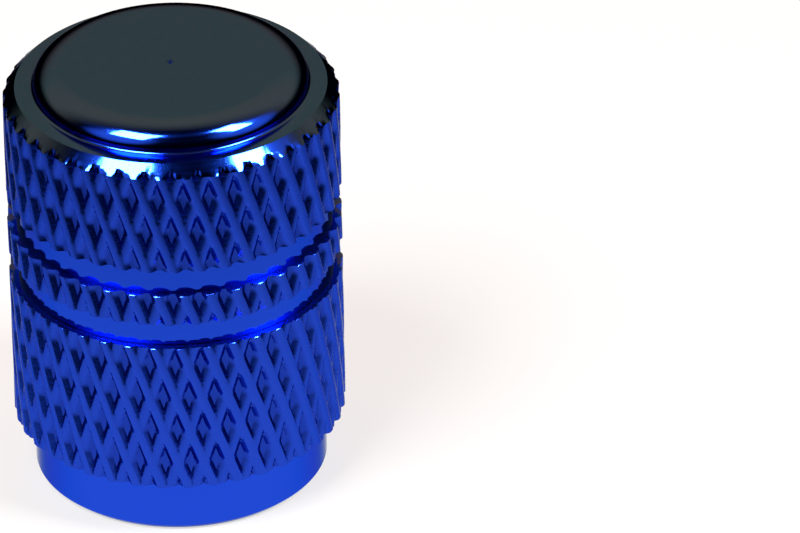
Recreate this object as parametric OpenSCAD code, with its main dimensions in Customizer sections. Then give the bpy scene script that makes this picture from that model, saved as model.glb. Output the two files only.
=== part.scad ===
/* [Body] */
// Diameter over the crests of the knurl
body_d = 11; // [10.8:0.1:14]
// Height from the open rim to the flat top of the boss
body_h = 15; // [15:0.1:20]
// Diameter of the plain skirt below the knurl
skirt_d = 9.7; // [9.2:0.1:10]
// Height of the plain skirt
skirt_h = 2.05; // [1:0.05:3]
// Chamfer round the foot of the skirt
skirt_chamfer = 0.15; // [0.05:0.05:0.3]
// Height of the flat shoulder that carries the boss
shoulder_z = 14.2; // [13.2:0.05:14.2]
// Chamfer where the knurl ends at the shoulder
shoulder_chamfer = 0.4; // [0.2:0.05:0.7]

/* [Knurl] */
// Ridges of each hand round the body
ridge_count = 40; // [30:1:50]
// Height of one diamond from its lower to its upper point
diamond_h = 2.5; // [2:0.1:4]
// Part of the ridge spacing that a ridge's flat crest takes
crest_share = 0.25; // [0.2:0.05:0.4]
// Part of the ridge spacing that one sloping wall of a pocket takes
wall_share = 0.24; // [0.1:0.02:0.24]
// Depth of the pockets between the ridges
pocket_depth = 0.2; // [0.1:0.01:0.24]
// Height of the knurl pattern's first crossings above the top of the skirt
pattern_lift = -0.34; // [-0.6:0.02:0.6]
// Turn of the knurl pattern about the axis, in degrees
pattern_turn = 3.1; // [-4:0.1:4]

/* [Turned grooves] */
// Height of the lower groove's lower edge
lower_groove_z = 7.4; // [6.6:0.1:7.8]
// Height of the upper groove's lower edge
upper_groove_z = 9.4; // [9:0.1:10.6]
// Width of each groove along the axis
groove_w = 0.9; // [0.5:0.05:1.1]
// Depth of each groove below the knurl's crests
groove_depth = 0.3; // [0.26:0.02:0.4]

/* [Boss] */
// Diameter of the round boss on top
boss_d = 9; // [8:0.1:9.2]
// Width of the boss's rounded edge, from the wall in to the flat top
boss_edge_w = 1; // [0.4:0.1:1.5]
// Height of the boss's rounded edge
boss_edge_h = 0.7; // [0.3:0.05:0.7]
// Radius of the hollow fillet at the foot of the boss
boss_fillet = 0.1; // [0.05:0.05:0.1]
// Width of the small nib that the facing tool leaves at the centre of the top
nib_d = 0.25; // [0.1:0.05:0.4]
// Height of that nib
nib_h = 0.08; // [0.04:0.02:0.1]

/* [Threaded bore] */
// Minor diameter of the valve thread, where the bore's wall stands
thread_minor_d = 6.9; // [6.6:0.05:7.1]
// Height where the thread starts, above the rim's lead-in cone
thread_z = 0.6; // [0.4:0.1:1.2]
// Length of the threaded wall
thread_len = 7.6; // [6:0.1:8]
// Diameter of the bore's mouth at the rim
mouth_d = 8.1; // [7.9:0.1:8.4]
// Diameter of the turned recess past the end of the thread
recess_d = 8; // [7.8:0.1:8.2]
// Height of the recess along the axis
recess_h = 2.3; // [2:0.1:2.6]
// Diameter of the blind hole that clears the valve pin
pin_hole_d = 4; // [3:0.1:4.4]
// Depth of that hole's straight wall above the recess
pin_hole_h = 1.5; // [0.5:0.1:1.8]
// Point angle of the drill that made the hole, in degrees
drill_point = 118; // [90:1:140]

/* [Sealing washer] */
// Clearance between the washer's edge and the wall of the recess
washer_gap = 0.05; // [0.02:0.01:0.15]
// Diameter of the hole in the washer
washer_hole_d = 3.6; // [3:0.1:4.4]
// Thickness of the washer
washer_t = 1.6; // [1.2:0.1:1.9]
// Radius of the washer's rounded edges
washer_round = 0.25; // [0.1:0.05:0.4]

/* [Hidden] */
$fn = 96;

body_r = body_d / 2;
skirt_r = skirt_d / 2;
boss_r = boss_d / 2;
nib_r = nib_d / 2;
groove_r = body_r - groove_depth;
shoulder_r = body_r - shoulder_chamfer;
thread_r = thread_minor_d / 2;
recess_r = recess_d / 2;
recess_z = thread_z + thread_len;
seat_z = recess_z + recess_h;
pin_hole_r = pin_hole_d / 2;
pin_hole_z = seat_z + pin_hole_h;
drill_tip_z = pin_hole_z + pin_hole_r / tan(drill_point / 2);
washer_r = recess_r - washer_gap;

// How far cuts run past the surfaces that they open
past = 1;

// The knurl, as rows of diamond pockets that lie staggered round the bar
pitch = 360 / ridge_count;
row_h = diamond_h / 2;
first_row_z = skirt_h + pattern_lift - row_h;
row_count = ceil((shoulder_z - first_row_z) / row_h) + 1;
pocket_r = body_r - pocket_depth;
rim_scale = 1 - crest_share;
floor_scale = rim_scale - 2 * wall_share;

// The corners of a diamond in order: left, top, right, bottom
LEFT = 0;
TOP = 1;
RIGHT = 2;
BOTTOM = 3;
CORNERS = [[-1, 0], [0, 1], [1, 0], [0, -1]];
CELL_POINTS = 8;

// A point at radius r, turned by the angle a from the front of the cap
function on_bar(r, a, z) = [r * sin(a), -r * cos(a), z];

// Angle of the middle of the diamond in column c of row k
function cell_angle(k, c) = pattern_turn + (c + (k % 2) / 2) * pitch;

// Height of the middle of row k
function cell_z(k) = first_row_z + k * row_h;

// The four rim corners and then the four floor corners of one diamond pocket
function cell_points(k, c) = [
    for (level = [[rim_scale, body_r], [floor_scale, pocket_r]], corner = CORNERS)
        on_bar(
            level[1],
            cell_angle(k, c) + corner[0] * level[0] * pitch / 2,
            cell_z(k) + corner[1] * level[0] * row_h
        )
];

// Number of a cell's point in the list of all points
function at(k, c, point) =
    (k * ridge_count + (c + ridge_count) % ridge_count) * CELL_POINTS + point;

// Columns of the upper left and upper right neighbours of the cell in column c
function left_above(k, c) = c - 1 + k % 2;
function right_above(k, c) = c + k % 2;

// The floor of a pocket and its four sloping walls
function pocket_faces(k, c) = concat(
    [[for (i = [0 : 3]) at(k, c, 4 + i)]],
    [for (i = [0 : 3], next = (i + 1) % 4)
        [at(k, c, i), at(k, c, next), at(k, c, 4 + next), at(k, c, 4 + i)]]
);

// The two stretches of ridge above a pocket
function ridge_faces(k, c) =
    let (l = left_above(k, c), r = right_above(k, c)) [
        [at(k, c, LEFT), at(k + 1, l, BOTTOM), at(k + 1, l, RIGHT), at(k, c, TOP)],
        [at(k, c, TOP), at(k + 1, r, LEFT), at(k + 1, r, BOTTOM), at(k, c, RIGHT)],
    ];

// The crossing of two ridges over a pocket's top corner
function crossing_face(k, c) =
    let (l = left_above(k, c), r = right_above(k, c))
    [at(k, c, TOP), at(k + 1, l, RIGHT), at(k + 2, c, BOTTOM), at(k + 1, r, LEFT)];

// The zigzag edge of the pattern, going round past its last row or its first
function upper_edge() = [
    for (c = [0 : ridge_count - 1], k = row_count - 1)
        each [at(k, c, LEFT), at(k, c, TOP), at(k, c, RIGHT),
              at(k - 1, right_above(k, c), TOP)]
];
function lower_edge() = [
    for (c = [0 : ridge_count - 1])
        each [at(0, c, LEFT), at(0, c, BOTTOM), at(0, c, RIGHT),
              at(1, right_above(0, c), BOTTOM)]
];

// A plain ring at height z with a point over each point of an edge
function end_ring(k, z) = [
    for (c = [0 : ridge_count - 1], part = [-rim_scale, 0, rim_scale, 1])
        on_bar(body_r, cell_angle(k, c) + part * pitch / 2, z)
];

// The bar before it is turned: round, closed at both ends and knurled between
module knurled_bar() {
    cells = [
        for (k = [0 : row_count - 1], c = [0 : ridge_count - 1])
            each cell_points(k, c)
    ];
    ring_size = 4 * ridge_count;
    top_start = len(cells);
    foot_start = top_start + ring_size;
    above = upper_edge();
    below = lower_edge();
    polyhedron(
        points = concat(
            cells,
            end_ring(row_count - 1, body_h + past),
            end_ring(0, -past)
        ),
        faces = concat(
            [for (k = [0 : row_count - 1], c = [0 : ridge_count - 1])
                each pocket_faces(k, c)],
            [for (k = [0 : row_count - 2], c = [0 : ridge_count - 1])
                each ridge_faces(k, c)],
            [for (k = [0 : row_count - 3], c = [0 : ridge_count - 1])
                crossing_face(k, c)],
            [for (i = [0 : ring_size - 1], next = (i + 1) % ring_size)
                [above[i], top_start + i, top_start + next, above[next]]],
            [for (i = [0 : ring_size - 1], next = (i + 1) % ring_size)
                [below[next], foot_start + next, foot_start + i, below[i]]],
            [[for (i = [ring_size - 1 : -1 : 0]) top_start + i]],
            [[for (i = [0 : ring_size - 1]) foot_start + i]]
        )
    );
}

// A rectangle from the axis side r0 to r1 and from z0 to z1, as a turned profile
module band(r0, r1, z0, z1) {
    translate([r0, z0]) square([r1 - r0, z1 - z0]);
}

// What the lathe leaves: half the section of the outside
module outside_profile() {
    // Bars and bands reach past the knurl's crests where the knurl is to stay whole
    reach = body_r + past;
    difference() {
        union() {
            polygon([
                [0, 0],
                [reach, 0],
                [reach, shoulder_z + shoulder_r - reach],
                [shoulder_r, shoulder_z],
                [0, shoulder_z],
            ]);
            band(0, boss_r, 0, body_h - boss_edge_h);
            band(0, boss_r - boss_edge_w, 0, body_h);
            // A quarter of an ellipse rounds the boss's edge, wider than it is high
            translate([boss_r - boss_edge_w, body_h - boss_edge_h])
                scale([boss_edge_w / boss_edge_h, 1])
                    circle(boss_edge_h);
            band(0, boss_r + boss_fillet, 0, shoulder_z + boss_fillet);
            polygon([
                [0, shoulder_z],
                [nib_r, shoulder_z],
                [nib_r, body_h],
                [0, body_h + nib_h],
            ]);
        }
        translate([boss_r + boss_fillet, shoulder_z + boss_fillet]) circle(boss_fillet);
        band(skirt_r, reach + past, -past, skirt_h);
        for (z = [lower_groove_z, upper_groove_z])
            band(groove_r, reach + past, z, z + groove_w);
        polygon([
            [skirt_r - skirt_chamfer, 0],
            [skirt_r, skirt_chamfer],
            [skirt_r + past, skirt_chamfer],
            [skirt_r + past, -past],
            [skirt_r - skirt_chamfer, -past],
        ]);
    }
}

// Half the section of the threaded bore, the recess and the pin hole
module bore_profile() {
    polygon([
        [0, -past],
        [mouth_d / 2, -past],
        [mouth_d / 2, 0],
        [thread_r, thread_z],
        [thread_r, recess_z],
        [recess_r, recess_z],
        [recess_r, seat_z],
        [pin_hole_r, seat_z],
        [pin_hole_r, pin_hole_z],
        [0, drill_tip_z],
    ]);
}

// The one piece of aluminium: knurled bar, turned outside, bored from below
module cap_body() {
    color("mediumblue")
        difference() {
            intersection() {
                knurled_bar();
                rotate_extrude() outside_profile();
            }
            rotate_extrude() bore_profile();
        }
}

// The rubber ring that lies on the blind end of the recess
module sealing_washer() {
    mid = washer_hole_d / 2;
    color("dimgray")
        translate([0, 0, seat_z - washer_t])
            rotate_extrude()
                union() {
                    band(mid, washer_r, washer_round, washer_t - washer_round);
                    band(mid + washer_round, washer_r - washer_round, 0, washer_t);
                    for (r = [mid + washer_round, washer_r - washer_round])
                        for (z = [washer_round, washer_t - washer_round])
                            translate([r, z]) circle(washer_round);
                }
}

cap_body();
sealing_washer();
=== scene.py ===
import math

import bpy
import numpy as np
from mathutils import Matrix, Vector


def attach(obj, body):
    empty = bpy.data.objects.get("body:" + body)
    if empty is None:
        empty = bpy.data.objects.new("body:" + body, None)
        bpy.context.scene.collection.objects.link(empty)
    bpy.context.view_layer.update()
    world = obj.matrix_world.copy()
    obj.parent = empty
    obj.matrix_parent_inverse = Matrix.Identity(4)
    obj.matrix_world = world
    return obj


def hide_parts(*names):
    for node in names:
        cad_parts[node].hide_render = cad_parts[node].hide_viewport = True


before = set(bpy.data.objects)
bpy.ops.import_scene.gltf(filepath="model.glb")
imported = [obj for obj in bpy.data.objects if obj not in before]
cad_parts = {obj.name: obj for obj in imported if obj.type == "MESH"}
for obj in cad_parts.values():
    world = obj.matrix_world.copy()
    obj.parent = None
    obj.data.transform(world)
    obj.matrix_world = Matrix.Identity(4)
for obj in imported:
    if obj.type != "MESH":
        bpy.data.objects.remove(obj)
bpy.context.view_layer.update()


# The camera stands in front of the cap and looks down on its top at the photograph's angle,
# through a long lens, so that the far side is hardly smaller than the near side.
MM = 0.001
CAMERA_PLACE = Vector((0.0, -248.35, 159.82)) * MM
CAMERA_TURN = (58.3897, 0.7111, -2.1388)
LENS_MM = 397.85
SENSOR_MM = 36
NEAREST = 10 * MM

camera = bpy.data.objects.new("camera", bpy.data.cameras.new("camera"))
camera.location = CAMERA_PLACE
camera.rotation_euler = [math.radians(angle) for angle in CAMERA_TURN]
camera.data.sensor_width = SENSOR_MM
camera.data.lens = LENS_MM
camera.data.clip_start = NEAREST
bpy.context.collection.objects.link(camera)
bpy.context.scene.camera = camera
bpy.context.scene.view_settings.view_transform = "Standard"


# The studio: a pale floor, two soft lamps high at the front left and right of the cap, and a dim
# warm room round them, which only the metal mirrors. In the metal the pale card under the cap
# fades out with distance, so that the flanks of the knurl that look out level stay dark.
SHEET_CORNERS = 96
CARD_RADIUS = 55 * MM
CARD_FADE = 5 * MM                      # radius at which the card starts to fade
CARD_COLOUR = "FFFFFF"
FLOOR_RADIUS = 4000 * MM
FLOOR_DROP = 0.02 * MM                  # keeps the floor just under the card and the rim
FLOOR_COLOUR = "484848"
FLOOR_ROUGH = 0.9
FLOOR_GLOW = 0.6
LAMP_DISTANCE = 500 * MM
LAMP_TALL = 230 * MM
LAMPS = (                               # compass angle, height angle, width and power
    (-43, 56, 210 * MM, 9),
    (66, 51, 135 * MM, 7),
)
GLOWS = ((-47, 30), (66, 30))           # compass and height angle of the walls behind the lamps
GLOW_EDGE = (0.85, 0.99)                # cosines from their middles where they end and are full
GLOW_STRENGTH = 0.9
ROOM_WARM = (2.6, 0.75, 0.085, 1)       # linear light of the warm room
ROOM_RISE = (0.12, 0.45)                # sines of the heights where the warm room starts and is full
ROOM_BEHIND = (-0.15, 0.5)              # the same from front to back
WALL_COLOUR = "FAFAFA"


def linear(colour):
    """Turns an sRGB hex colour into linear red, green, blue and alpha."""
    parts = [int(colour[i:i + 2], 16) / 255 for i in (0, 2, 4)]
    return [c / 12.92 if c <= 0.04045 else ((c + 0.055) / 1.055) ** 2.4 for c in parts] + [1.0]


def node(tree, kind, links=(), **settings):
    """Adds a node. Settings are its properties, or its sockets where the key is in_NAME or
    in_NUMBER. Links are (input, other node's output) pairs."""
    made = tree.nodes.new(kind)
    for key, value in settings.items():
        if key.startswith("in_"):
            name = key[3:]
            made.inputs[int(name) if name.isdigit() else name.replace("_", " ")].default_value = value
        else:
            setattr(made, key, value)
    for socket, output in links:
        tree.links.new(output, made.inputs[socket])
    return made


def new_material(name):
    """An empty node material and its tree."""
    material = bpy.data.materials.new(name)
    material.use_nodes = True
    material.node_tree.nodes.clear()
    return material, material.node_tree


def disc(name, radius, height, material):
    """A flat round sheet that faces up: a ring of points at equal angles."""
    angle = np.linspace(0, 2 * math.pi, SHEET_CORNERS, endpoint=False)
    points = np.stack([radius * np.cos(angle), radius * np.sin(angle), 0 * angle + height], 1)
    mesh = bpy.data.meshes.new(name)
    mesh.from_pydata(points.tolist(), [], [list(range(len(angle)))])
    mesh.materials.append(material)
    sheet = bpy.data.objects.new(name, mesh)
    bpy.context.collection.objects.link(sheet)
    return sheet


def toward(azimuth, height):
    """Unit vector towards a compass angle, with 0 in front and 90 at the right, and a height."""
    azimuth, height = math.radians(azimuth), math.radians(height)
    return Vector((math.cos(height) * math.sin(azimuth), -math.cos(height) * math.cos(azimuth),
                   math.sin(height)))


# Matt floor, lit through from below like a light table, so that shadows on it stay pale. From
# below it isn't there, so that the cap's underside can be looked at.
floor_white, tree = new_material("white_floor")
matt = node(tree, "ShaderNodeBsdfPrincipled", in_Base_Color=linear(FLOOR_COLOUR),
            in_Roughness=FLOOR_ROUGH, in_Emission_Color=linear("FFFFFF"),
            in_Emission_Strength=FLOOR_GLOW)
clear = node(tree, "ShaderNodeBsdfTransparent")
below = node(tree, "ShaderNodeNewGeometry").outputs["Backfacing"]
shader = node(tree, "ShaderNodeMixShader", [(0, below), (1, matt.outputs[0]), (2, clear.outputs[0])])
node(tree, "ShaderNodeOutputMaterial", [(0, shader.outputs[0])])

# The card as the metal sees it: bright close to the cap and fading outwards.
card_white, tree = new_material("white_card")
place = node(tree, "ShaderNodeTexCoord").outputs["Object"]
from_cap = node(tree, "ShaderNodeVectorMath", [(0, place)], operation="LENGTH").outputs["Value"]
fade = node(tree, "ShaderNodeMapRange", [(0, from_cap)], interpolation_type="SMOOTHSTEP",
            in_1=CARD_FADE, in_2=CARD_RADIUS, in_3=1.0, in_4=0.0)
glow = node(tree, "ShaderNodeEmission", [("Strength", fade.outputs[0])],
            in_Color=linear(CARD_COLOUR))
node(tree, "ShaderNodeOutputMaterial", [(0, glow.outputs[0])])

card = disc("card", CARD_RADIUS, 0.0, card_white)
card.visible_camera = False
card.visible_diffuse = False
card.visible_shadow = False
floor = disc("floor", FLOOR_RADIUS, -FLOOR_DROP, floor_white)
floor.visible_glossy = False

for number, (azimuth, height, width, power) in enumerate(LAMPS):
    lamp = bpy.data.objects.new(f"lamp_{number}", bpy.data.lights.new(f"lamp_{number}", "AREA"))
    lamp.data.energy = power
    lamp.data.shape = "RECTANGLE"
    lamp.data.size = width
    lamp.data.size_y = LAMP_TALL
    away = toward(azimuth, height)
    turn = (-away).to_track_quat("-Z", "Y")
    lamp.matrix_world = Matrix.Translation(away * LAMP_DISTANCE) @ turn.to_matrix().to_4x4()
    bpy.context.collection.objects.link(lamp)

# The room: dark at the horizon and at the front, and warm above it at the back. The camera sees
# plain pale walls.
world = bpy.data.worlds.new("room")
world.use_nodes = True
bpy.context.scene.world = world
tree = world.node_tree
tree.nodes.clear()
direction = node(tree, "ShaderNodeTexCoord").outputs["Generated"]
axes = node(tree, "ShaderNodeSeparateXYZ", [(0, direction)])
rise = node(tree, "ShaderNodeMapRange", [(0, axes.outputs[2])], interpolation_type="SMOOTHSTEP",
            in_1=ROOM_RISE[0], in_2=ROOM_RISE[1], in_3=0.0, in_4=1.0)
behind = node(tree, "ShaderNodeMapRange", [(0, axes.outputs[1])], interpolation_type="SMOOTHSTEP",
              in_1=ROOM_BEHIND[0], in_2=ROOM_BEHIND[1], in_3=0.0, in_4=1.0)
warmth = node(tree, "ShaderNodeMath", [(0, rise.outputs[0]), (1, behind.outputs[0])],
              operation="MULTIPLY")
room = node(tree, "ShaderNodeBackground", [(1, warmth.outputs[0])], in_0=ROOM_WARM)
lit = room.outputs[0]
for azimuth, height in GLOWS:
    near = node(tree, "ShaderNodeVectorMath", [(0, direction)], operation="DOT_PRODUCT",
                in_1=toward(azimuth, height))
    strength = node(tree, "ShaderNodeMapRange", [(0, near.outputs["Value"])],
                    interpolation_type="SMOOTHSTEP", in_1=GLOW_EDGE[0], in_2=GLOW_EDGE[1],
                    in_3=0.0, in_4=GLOW_STRENGTH)
    wall = node(tree, "ShaderNodeBackground", [(1, strength.outputs[0])], in_0=(1, 1, 1, 1))
    lit = node(tree, "ShaderNodeAddShader", [(0, lit), (1, wall.outputs[0])]).outputs[0]
pale = node(tree, "ShaderNodeBackground", in_Color=linear(WALL_COLOUR), in_Strength=1.0)
path = node(tree, "ShaderNodeLightPath")
mixed = node(tree, "ShaderNodeMixShader", [
    (0, path.outputs["Is Camera Ray"]), (1, lit), (2, pale.outputs[0])])
node(tree, "ShaderNodeOutputWorld", [(0, mixed.outputs[0])])


# The cap: one piece of aluminium bar, knurled between two rolls that press raised ridges of both
# hands into it, then turned, bored and tapped from below, and anodised blue all over.
BODY_R = 5.5
BODY_H = 15.0
SKIRT_R = 4.85
SKIRT_H = 2.05
SKIRT_CHAMFER = 0.15
SHOULDER_Z = 14.2
SHOULDER_CHAMFER = 0.4
BOSS_R = 4.5
BOSS_EDGE_W = 1.0           # width and height of the boss's rounded edge, a quarter of an ellipse
BOSS_EDGE_H = 0.7
BOSS_EDGE_STEPS = 24
BOSS_FILLET = 0.1
BOSS_FILLET_STEPS = 4
TOP_RING_R = 2.0            # a ring of mesh in the flat top
NIB_R = 0.125               # what the facing tool leaves at the centre of the top
NIB_H = 0.08
NIB_TIP_R = 0.01
GROOVE_R = 5.2
LOW_GROOVE = (7.4, 8.3)
HIGH_GROOVE = (9.4, 10.3)
LIP = 0.014                 # chamfer that the tool leaves on each groove's lips

MOUTH_R = 4.05
THREAD_R = 3.45             # crests of the thread in the bore
THREAD_DEPTH = 0.42
THREAD_PITCH = 0.794
THREAD_Z = 0.6
RECESS_R = 4.0
RECESS_Z = 8.2
SEAT_Z = 10.5
PIN_HOLE_R = 2.0
PIN_HOLE_Z = 12.0
DRILL_TIP_Z = 13.2
DRILL_TIP_R = 0.02          # what is left open at the drill's point, and closed with one flat face

RIDGES = 40                 # ridges of each hand
DIAMOND_H = 2.5             # height of one diamond between the ridges
KNURL_DEPTH = 0.2
CREST = (0.11, 0.09)        # half of a crest's width, as a part of the ridge spacing, of each hand
WALL = 0.27                 # width of a pocket's wall, as a part of the ridge spacing
LOW_HAND = 0.75             # height of the lower hand's ridges, as a part of the other's
KNURL_TURN = math.radians(3.1)
KNURL_LIFT = -0.34
STEPS = 12                  # mesh columns from one ridge to the next
FINE = RIDGES * STEPS
COARSE = 120
ROW = DIAMOND_H / (2 * STEPS)
ROW_GAP = 0.2               # part of a row that the knurl's rows keep off a band's ends
SAME_ROW = 1e-6             # part of a row within which a height counts as on that row
THREAD_ROWS = 12            # mesh rows in one turn of the thread
THREAD_FLANK = (1, 5)       # rows from the middle of the groove where its flank starts and ends
SHARP_ANGLE = 25            # in degrees, from which two faces meet in an edge


def knurl_radius(theta, z):
    """Radius of the knurled bar. Helical ridges of both hands go round it. Each hand has a count,
    which grows round the bar and grows or falls along it, and is a whole number along a crest. From
    a crest the surface falls along a smooth step to the pocket's floor, and where ridges cross the
    taller one shows."""
    round_bar = RIDGES * (theta - KNURL_TURN) / (2 * math.pi)
    along_bar = (z - SKIRT_H - KNURL_LIFT) / DIAMOND_H
    heights = []
    for count, crest, tall in zip((round_bar + along_bar, round_bar - along_bar), CREST,
                                  (1, LOW_HAND)):
        fall = np.clip((np.abs(count - np.round(count)) - crest) / WALL, 0, 1)
        heights.append(tall * (1 - fall * fall * (3 - 2 * fall)))
    return BODY_R - KNURL_DEPTH * (1 - np.maximum(*heights))


def thread_radius(theta, z):
    """Radius of the tapped bore. The right-hand groove climbs one pitch a turn. Its section is a V
    of a little over 60 degrees with a flat root, and the crests between its turns are flat too."""
    turns = (z - THREAD_Z) / THREAD_PITCH - theta / (2 * math.pi)
    rows_off = np.abs(turns - np.round(turns)) * THREAD_ROWS
    start, end = THREAD_FLANK
    return THREAD_R + THREAD_DEPTH * np.clip((end - rows_off) / (end - start), 0, 1)


def arc(centre_r, centre_z, reach_r, reach_z, start, end, steps):
    """Points of an ellipse in the section, from angle start to end in degrees, 0 pointing out."""
    angle = np.radians(np.linspace(start, end, steps + 1))
    return np.stack([centre_r + reach_r * np.cos(angle), centre_z + reach_z * np.sin(angle)], 1)


def lattice_rows(low, high):
    """Heights of the knurl's mesh rows strictly between low and high."""
    base = SKIRT_H + KNURL_LIFT
    first = math.floor((low - base) / ROW + ROW_GAP) + 1
    last = math.ceil((high - base) / ROW - ROW_GAP) - 1
    return base + ROW * np.arange(first, last + 1)


def band(low, high):
    """A knurled band's part of the section, with a small chamfer at each end."""
    rows = lattice_rows(low + LIP, high - LIP)
    heights = np.concatenate([[low, low + LIP], rows, [high - LIP, high]])
    radii = np.full(len(heights), BODY_R)
    radii[[0, -1]] = BODY_R - LIP
    return np.stack([radii, heights], 1)


def ring_points(r, theta, z):
    """Points of rings round the axis, with angle 0 at the front."""
    z = z + 0 * theta
    return np.stack([r * np.sin(theta), -r * np.cos(theta), z], -1).reshape(-1, 3) * MM


def ring_faces(first, rings, columns, rising):
    """Triangles between rings that go round the axis, with points counted from first. A cell is
    cut from its lower left corner where rising is true, and else from its lower right one. Rising
    is one value, or one for each row of cells."""
    column = np.arange(columns)[None, :]
    here = first + np.arange(rings - 1)[:, None] * columns + column
    right = here - column + (column + 1) % columns
    up, up_right = here + columns, right + columns
    rising = np.broadcast_to(rising, here.shape)[..., None]
    one = np.where(rising, np.stack([here, right, up_right], -1), np.stack([here, right, up], -1))
    two = np.where(rising, np.stack([here, up_right, up], -1),
                   np.stack([right, up_right, up], -1))
    return np.concatenate([one, two]).reshape(-1, 3).tolist()


# Inside and skirt: drill point, pin hole, washer seat, recess, thread, mouth cone, rim and skirt.
# Radius 0 marks the thread's rows, which get theirs from thread_radius.
thread_step = THREAD_PITCH / THREAD_ROWS
thread_rows = np.arange(RECESS_Z - 2 * thread_step, THREAD_Z + thread_step, -thread_step)
inner = np.concatenate([
    [[DRILL_TIP_R, DRILL_TIP_Z], [PIN_HOLE_R, PIN_HOLE_Z], [PIN_HOLE_R, SEAT_Z], [RECESS_R, SEAT_Z],
     [RECESS_R, RECESS_Z], [THREAD_R, RECESS_Z]],
    np.stack([0 * thread_rows, thread_rows], 1),
    [[THREAD_R, THREAD_Z], [MOUTH_R, 0], [SKIRT_R - SKIRT_CHAMFER, 0],
     [SKIRT_R, SKIRT_CHAMFER], [SKIRT_R, SKIRT_H]],
])
theta = np.arange(COARSE)[None, :] * 2 * math.pi / COARSE
in_thread = (inner[:, :1] == 0)
# A row in the thread climbs with its helix from column to column, and drops back by a row each time
# it has climbed one
climb = (theta * THREAD_PITCH / (2 * math.pi)) % thread_step
inner_z = inner[:, 1:] + np.where(in_thread, climb, 0)
inner_r = np.where(in_thread, thread_radius(theta, inner_z), inner[:, :1])
inner_points = ring_points(inner_r, theta, inner_z)
faces = ring_faces(0, len(inner), COARSE, False)
faces.append(np.arange(COARSE)[::-1].tolist())

# Outside: the knurled bands, the two turned grooves and the chamfer up to the shoulder
chamfer_z = SHOULDER_Z - SHOULDER_CHAMFER
cone_z = np.append(lattice_rows(chamfer_z, SHOULDER_Z - ROW), SHOULDER_Z)
cone_r = BODY_R - (cone_z - chamfer_z)
outer = np.concatenate([
    band(SKIRT_H, LOW_GROOVE[0]),
    [[GROOVE_R, LOW_GROOVE[0]], [GROOVE_R, LOW_GROOVE[1]]],
    band(LOW_GROOVE[1], HIGH_GROOVE[0]),
    [[GROOVE_R, HIGH_GROOVE[0]], [GROOVE_R, HIGH_GROOVE[1]]],
    band(HIGH_GROOVE[1], chamfer_z + LIP)[:-1],
    np.stack([cone_r, cone_z], 1),
])
# Every other row of the knurl is shifted by half a column, so that the mesh's edges follow the
# ridges of both hands
row_number = (outer[:, 1] - SKIRT_H - KNURL_LIFT) / ROW
on_row = np.abs(row_number - np.round(row_number)) < SAME_ROW
shift = np.where(on_row & (np.round(row_number) % 2 == 1), 0.5, 0.0)[:, None]
theta = KNURL_TURN + (np.arange(FINE)[None, :] + shift) * 2 * math.pi / FINE
outer_r = np.minimum(outer[:, :1], knurl_radius(theta, outer[:, 1:]))
outer_points = ring_points(outer_r, theta, outer[:, 1:])
faces += ring_faces(len(inner_points), len(outer), FINE, np.diff(shift, axis=0) <= 0)

# The boss: hollow fillet, whose last point is the first of the rounded edge, flat top and centre nib
top = np.concatenate([
    arc(BOSS_R + BOSS_FILLET, SHOULDER_Z + BOSS_FILLET, BOSS_FILLET, BOSS_FILLET, 270, 180,
        BOSS_FILLET_STEPS)[:-1],
    arc(BOSS_R - BOSS_EDGE_W, BODY_H - BOSS_EDGE_H, BOSS_EDGE_W, BOSS_EDGE_H, 0, 90,
        BOSS_EDGE_STEPS),
    [[TOP_RING_R, BODY_H], [NIB_R, BODY_H], [NIB_TIP_R, BODY_H + NIB_H]],
])
theta = KNURL_TURN + np.arange(COARSE)[None, :] * 2 * math.pi / COARSE
top_points = ring_points(top[:, :1] + 0 * theta, theta, top[:, 1:])
top_start = len(inner_points) + len(outer_points)
faces += ring_faces(top_start, len(top), COARSE, False)
faces.append((top_start + (len(top) - 1) * COARSE + np.arange(COARSE)).tolist())

# Flat rings join coarse to fine columns below the knurl and on the shoulder
ratio = FINE // COARSE
coarse = np.arange(COARSE)[:, None]
fine = np.concatenate([(coarse * ratio + step) % FINE for step in range(ratio + 1)], 1)
outer_start = len(inner_points)
below_knurl = outer_start - COARSE + coarse
above_shoulder = top_start - FINE + fine
faces += np.concatenate([below_knurl, outer_start - COARSE + (coarse + 1) % COARSE,
                         outer_start + fine[:, ::-1]], 1).tolist()
faces += np.concatenate([above_shoulder, top_start + (coarse + 1) % COARSE,
                         top_start + coarse], 1).tolist()

mesh = bpy.data.meshes.new("anodised_cap")
mesh.from_pydata(np.concatenate([inner_points, outer_points, top_points]).tolist(), [], faces)
mesh.shade_smooth()
mesh.set_sharp_from_angle(angle=math.radians(SHARP_ANGLE))
cap = bpy.data.objects.new("anodised_cap", mesh)
bpy.context.collection.objects.link(cap)

# Anodised aluminium: the dyed oxide filters what the metal mirrors to a deep blue, and its clear
# surface adds a thin white gloss.
TURNED_BLUE = "1846D4"
# The knurl's two blues are painted shade: darker than the turned blue, the pocket one darkest
SHADED_POCKET_BLUE = "1436AA"
SHADED_CREST_BLUE = "1C42C2"
EDGE_TINT = (0.35, 0.4, 0.5, 1)         # the metal at grazing angles, dulled by the dye
GLOSS = 0.1
GLOSS_ROUGH = 0.05
OXIDE_IOR = 1.6
TURNED_ROUGH = 0.1
KNURL_ROUGH = 0.25
FEED = 0.07                             # what the turning tool moves on in a turn
FEED_DEPTH = FEED / 20                  # of the marks
FEED_DETAIL = 2.0
FEED_BUMP = 0.15
STREAK_NOISE = (0.3, 0.7)               # low and high end of the noise
STREAK_ROUGH = (0.8, 1.25)              # what these multiply the roughness by

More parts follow.
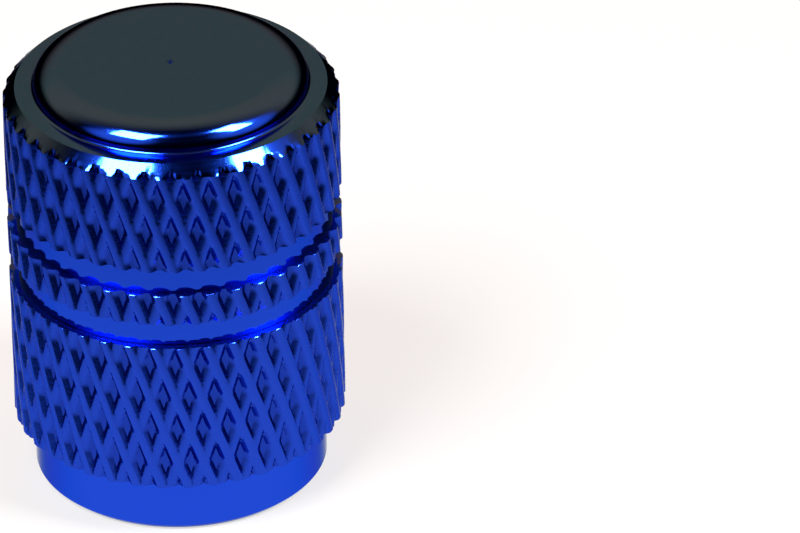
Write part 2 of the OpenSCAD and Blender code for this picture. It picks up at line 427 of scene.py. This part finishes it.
anodised, tree = new_material("anodised_aluminium")
place = node(tree, "ShaderNodeTexCoord").outputs["Object"]
across = node(tree, "ShaderNodeVectorMath", [(0, place)], operation="MULTIPLY", in_1=(1, 1, 0))
radius = node(tree, "ShaderNodeVectorMath", [(0, across.outputs[0])],
              operation="LENGTH").outputs["Value"]
height = node(tree, "ShaderNodeSeparateXYZ", [(0, place)]).outputs[2]

# Feed marks of the turning tool: rings, so the pattern only depends on radius and height
rings = node(tree, "ShaderNodeCombineXYZ", [(0, radius), (1, height)])
marks = node(tree, "ShaderNodeTexNoise", [(0, rings.outputs[0])], in_Scale=1 / (FEED * MM),
             in_Detail=FEED_DETAIL)
# The rolls leave the knurl duller than the tool leaves the turned faces and the chamfer
outside = node(tree, "ShaderNodeMapRange", [(0, radius)], in_1=GROOVE_R * MM,
               in_2=(BODY_R - KNURL_DEPTH) * MM, in_3=0.0, in_4=1.0)
below_chamfer = node(tree, "ShaderNodeMath", [(0, height)], operation="LESS_THAN",
                     in_1=chamfer_z * MM)
knurled = node(tree, "ShaderNodeMath", [(0, outside.outputs[0]), (1, below_chamfer.outputs[0])],
               operation="MULTIPLY").outputs[0]
dull = node(tree, "ShaderNodeMapRange", [(0, knurled)], in_3=TURNED_ROUGH, in_4=KNURL_ROUGH)
streak = node(tree, "ShaderNodeMapRange", [(0, marks.outputs[0])], in_1=STREAK_NOISE[0],
              in_2=STREAK_NOISE[1], in_3=STREAK_ROUGH[0], in_4=STREAK_ROUGH[1])
rough = node(tree, "ShaderNodeMath", [(0, dull.outputs[0]), (1, streak.outputs[0])],
             operation="MULTIPLY")
# Painted shade: the knurl is a darker blue than the turned faces, darkest on the pocket floors
pocket_shade = node(tree, "ShaderNodeMapRange", [(0, radius)], interpolation_type="SMOOTHSTEP",
              in_1=(BODY_R - KNURL_DEPTH) * MM, in_2=BODY_R * MM, in_3=0.0, in_4=1.0)
deep = node(tree, "ShaderNodeMix", [("Factor", pocket_shade.outputs[0])], data_type="RGBA",
            in_6=linear(SHADED_POCKET_BLUE), in_7=linear(SHADED_CREST_BLUE))
blue = node(tree, "ShaderNodeMix", [("Factor", knurled), (7, deep.outputs[2])],
            data_type="RGBA", in_6=linear(TURNED_BLUE))
ridged = node(tree, "ShaderNodeBump", [("Height", marks.outputs[0])], in_Strength=FEED_BUMP,
              in_Distance=FEED_DEPTH * MM)
shader = node(
    tree, "ShaderNodeBsdfPrincipled",
    [("Base Color", blue.outputs[2]), ("Roughness", rough.outputs[0]),
     ("Normal", ridged.outputs[0])],
    in_Metallic=1.0, in_Specular_Tint=EDGE_TINT, in_Coat_Weight=GLOSS,
    in_Coat_Roughness=GLOSS_ROUGH, in_Coat_IOR=OXIDE_IOR)
node(tree, "ShaderNodeOutputMaterial", [(0, shader.outputs[0])])
mesh.materials.append(anodised)
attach(cap, "root")
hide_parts("cap_body")


# The sealing washer: a moulded ring of black nitrile rubber with rounded edges. It lies on the
# blind end of the recess, where the end of the thread traps it, and seals on the valve's rim.
WASHER_HOLE_R = 1.8
WASHER_R = 3.95
WASHER_T = 1.6
WASHER_ROUND = 0.25
WASHER_COLUMNS = 96
ROUND_STEPS = 5

ring = np.concatenate([
    arc(r, z, WASHER_ROUND, WASHER_ROUND, start, start + 90, ROUND_STEPS)
    for r, z, start in (
        (WASHER_R - WASHER_ROUND, SEAT_Z - WASHER_T + WASHER_ROUND, -90),
        (WASHER_R - WASHER_ROUND, SEAT_Z - WASHER_ROUND, 0),
        (WASHER_HOLE_R + WASHER_ROUND, SEAT_Z - WASHER_ROUND, 90),
        (WASHER_HOLE_R + WASHER_ROUND, SEAT_Z - WASHER_T + WASHER_ROUND, 180))])
theta = np.arange(WASHER_COLUMNS)[None, :] * 2 * math.pi / WASHER_COLUMNS
washer_points = ring_points(ring[:, :1] + 0 * theta, theta, ring[:, 1:])
# The last ring of faces closes the section back to its first point
washer_faces = np.array(ring_faces(0, len(ring) + 1, WASHER_COLUMNS, False)) % len(washer_points)

mesh = bpy.data.meshes.new("rubber_washer")
mesh.from_pydata(washer_points.tolist(), [], washer_faces.tolist())
mesh.shade_smooth()
washer = bpy.data.objects.new("rubber_washer", mesh)
bpy.context.collection.objects.link(washer)

# Nitrile rubber, moulded: dull black with the fine grain of the mould, and greyer and duller in
# patches where wax has come to its surface.
RUBBER_BLACK = "19191A"
RUBBER_GREY = "262627"
RUBBER_ROUGH = (0.5, 0.7)               # where it is black and where it is grey
GRAIN = 0.08                            # coarser than the real skin, so that it shows
GRAIN_DEPTH = GRAIN / 10
GRAIN_DETAIL = 3.0
GRAIN_BUMP = 0.3
PATCH = 0.9
PATCH_DETAIL = 2.0
PATCH_NOISE = (0.4, 0.7)                # the noise at which a patch starts and is full

rubber, tree = new_material("nitrile_rubber")
place = node(tree, "ShaderNodeTexCoord").outputs["Object"]
grain = node(tree, "ShaderNodeTexNoise", [(0, place)], in_Scale=1 / (GRAIN * MM),
             in_Detail=GRAIN_DETAIL)
bloom = node(tree, "ShaderNodeTexNoise", [(0, place)], in_Scale=1 / (PATCH * MM),
             in_Detail=PATCH_DETAIL)
patch = node(tree, "ShaderNodeMapRange", [(0, bloom.outputs[0])], in_1=PATCH_NOISE[0],
             in_2=PATCH_NOISE[1])
black = node(tree, "ShaderNodeMix", [("Factor", patch.outputs[0])], data_type="RGBA",
             in_6=linear(RUBBER_BLACK), in_7=linear(RUBBER_GREY))
rough = node(tree, "ShaderNodeMapRange", [(0, patch.outputs[0])], in_3=RUBBER_ROUGH[0],
             in_4=RUBBER_ROUGH[1])
pebbled = node(tree, "ShaderNodeBump", [("Height", grain.outputs[0])], in_Strength=GRAIN_BUMP,
               in_Distance=GRAIN_DEPTH * MM)
shader = node(
    tree, "ShaderNodeBsdfPrincipled",
    [("Base Color", black.outputs[2]), ("Roughness", rough.outputs[0]),
     ("Normal", pebbled.outputs[0])])
node(tree, "ShaderNodeOutputMaterial", [(0, shader.outputs[0])])
mesh.materials.append(rubber)
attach(washer, "root")
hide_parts("sealing_washer")
